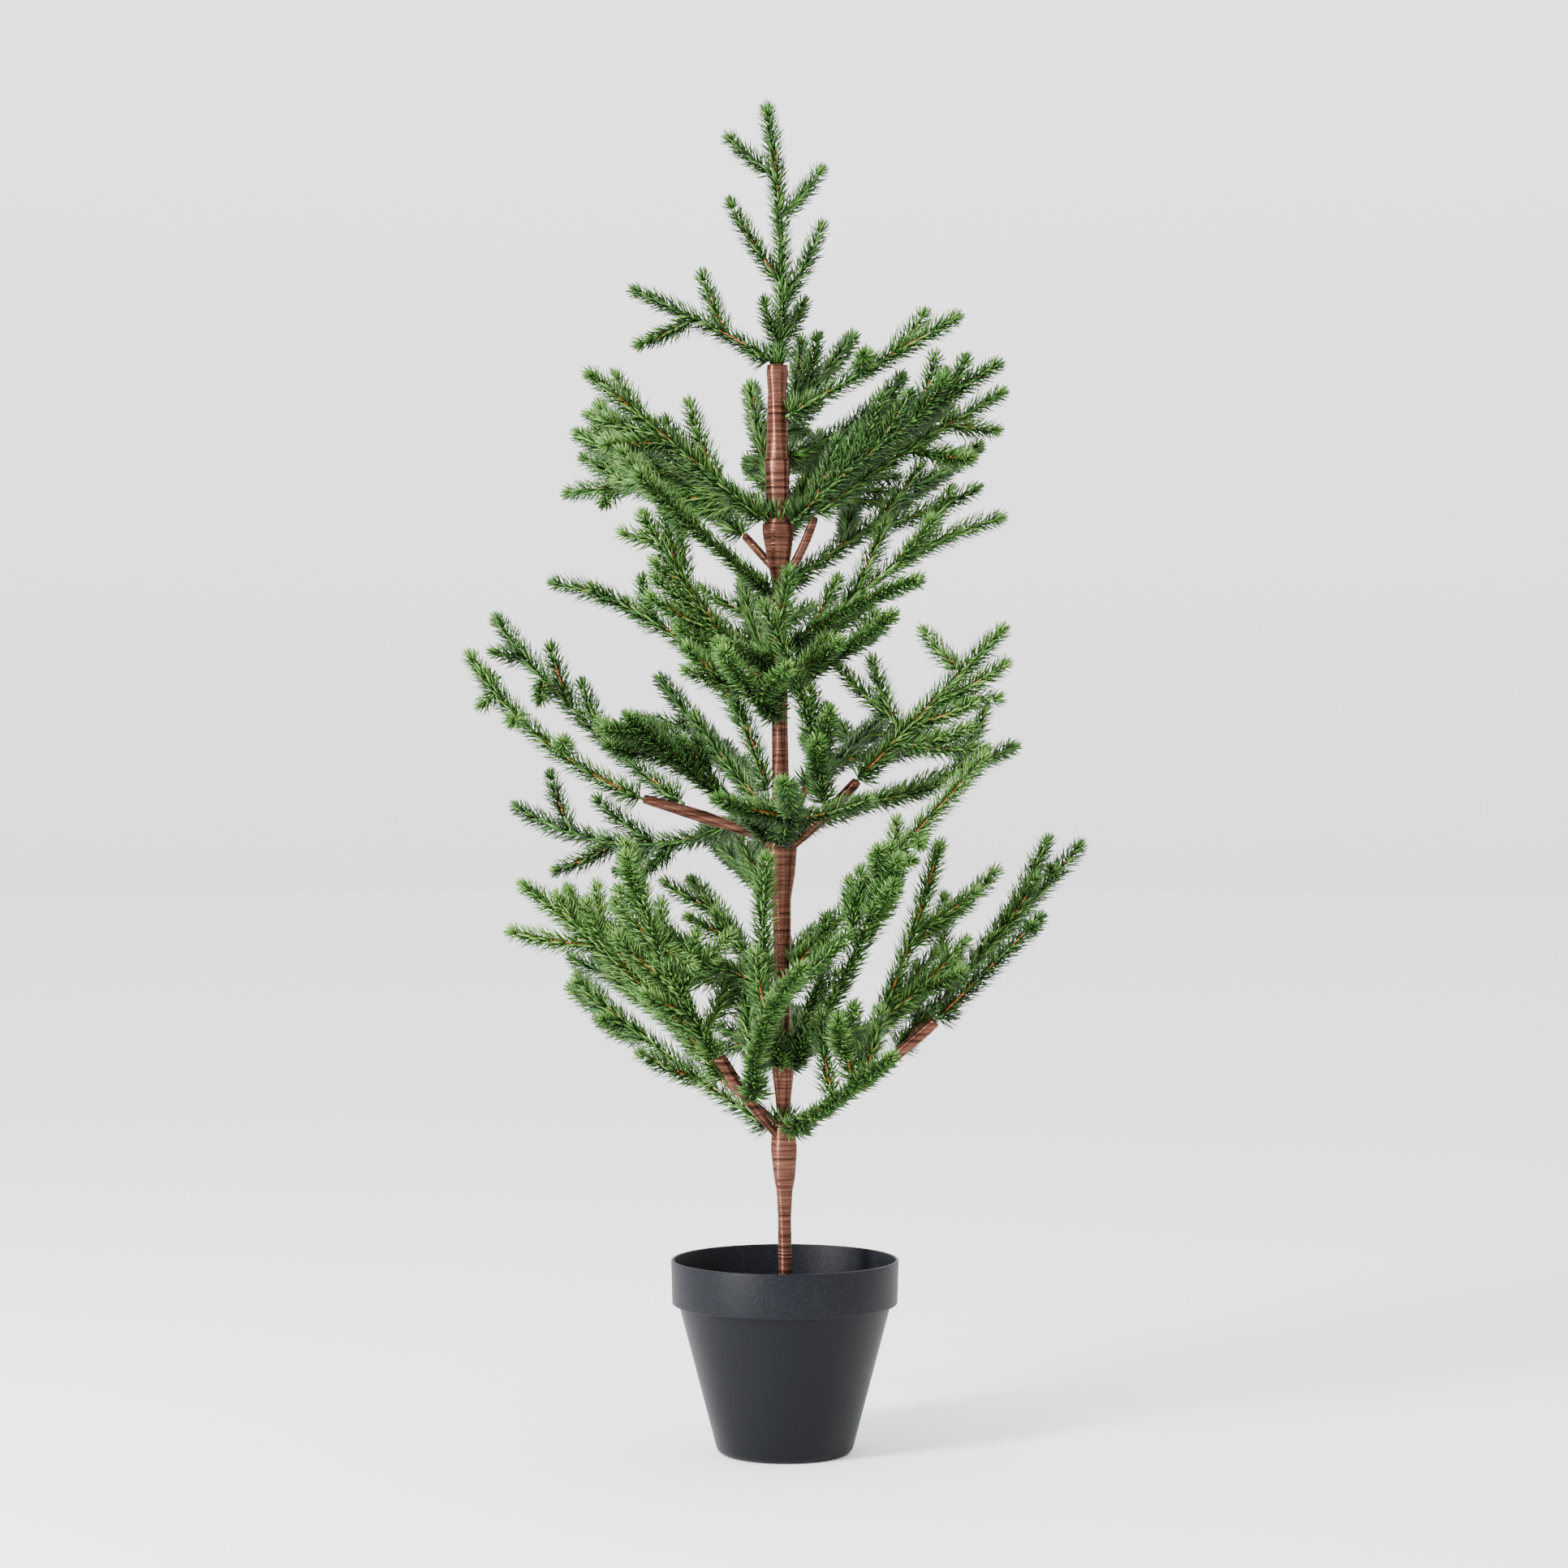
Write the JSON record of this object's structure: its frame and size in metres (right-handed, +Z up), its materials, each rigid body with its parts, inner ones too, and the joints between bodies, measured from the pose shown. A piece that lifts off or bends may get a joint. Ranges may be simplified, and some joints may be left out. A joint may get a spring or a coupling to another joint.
{
  "type": "artificial potted spruce tree",
  "caption": "slim open artificial spruce with a thread-wound stem, whorls of moulded needle sprigs and a tapered black pot",
  "frame": {"origin": "centre of the pot's flat underside, on the floor", "axes": "+Z up along the trunk, -Y towards the tree's front, +X to the tree's right as the picture shows it"},
  "size_m": [0.4187, 0.315, 0.912],
  "materials": {
    "pot_plastic": "satin",
    "cast_fill": "matte",
    "wound_thread": "satin",
    "needle_plastic": "satin"
  },
  "bodies": {
    "root": {"limb_lower_left": "wound_thread", "limb_lower_left_front": "wound_thread", "limb_lower_right": "wound_thread", "limb_middle_back": "wound_thread", "limb_middle_left": "wound_thread", "limb_middle_right": "wound_thread", "limb_upper_left": "wound_thread", "limb_upper_right": "wound_thread", "pot": "pot_plastic", "pot_filling": "cast_fill", "sprig_fifth_left_front": "needle_plastic", "sprig_fifth_right_back": "needle_plastic", "sprig_first_back": "needle_plastic", "sprig_first_front": "needle_plastic", "sprig_first_left_back": "needle_plastic", "sprig_first_right_front": "needle_plastic", "sprig_first_right_inner": "needle_plastic", "sprig_fourth_back": "needle_plastic", "sprig_fourth_front": "needle_plastic", "sprig_fourth_left": "needle_plastic", "sprig_fourth_right": "needle_plastic", "sprig_fourth_right_front": "needle_plastic", "sprig_high_back": "needle_plastic", "sprig_high_left": "needle_plastic", "sprig_high_left_back": "needle_plastic", "sprig_high_right": "needle_plastic", "sprig_leader": "needle_plastic", "sprig_limb_middle_back": "needle_plastic", "sprig_limb_upper_left": "needle_plastic", "sprig_limb_upper_right": "needle_plastic", "sprig_lower_front": "needle_plastic", "sprig_lower_left": "needle_plastic", "sprig_lower_left_front": "needle_plastic", "sprig_lower_left_long": "needle_plastic", "sprig_lower_left_middle": "needle_plastic", "sprig_lower_right_front": "needle_plastic", "sprig_lower_right_inner": "needle_plastic", "sprig_lower_right_outer": "needle_plastic", "sprig_lower_right_upper": "needle_plastic", "sprig_middle_front": "needle_plastic", "sprig_middle_left_back": "needle_plastic", "sprig_middle_left_front": "needle_plastic", "sprig_middle_left_high": "needle_plastic", "sprig_middle_left_low": "needle_plastic", "sprig_middle_left_outer": "needle_plastic", "sprig_middle_left_upper": "needle_plastic", "sprig_middle_right": "needle_plastic", "sprig_middle_right_back": "needle_plastic", "sprig_middle_right_front": "needle_plastic", "sprig_second_back": "needle_plastic", "sprig_second_right": "needle_plastic", "sprig_shoulder_back": "needle_plastic", "sprig_shoulder_right": "needle_plastic", "sprig_third_front": "needle_plastic", "sprig_third_right_front": "needle_plastic", "sprig_top_left": "needle_plastic", "sprig_upper_left_back": "needle_plastic", "sprig_upper_right_back": "needle_plastic", "trunk": "wound_thread"}
  },
  "joints": []
}
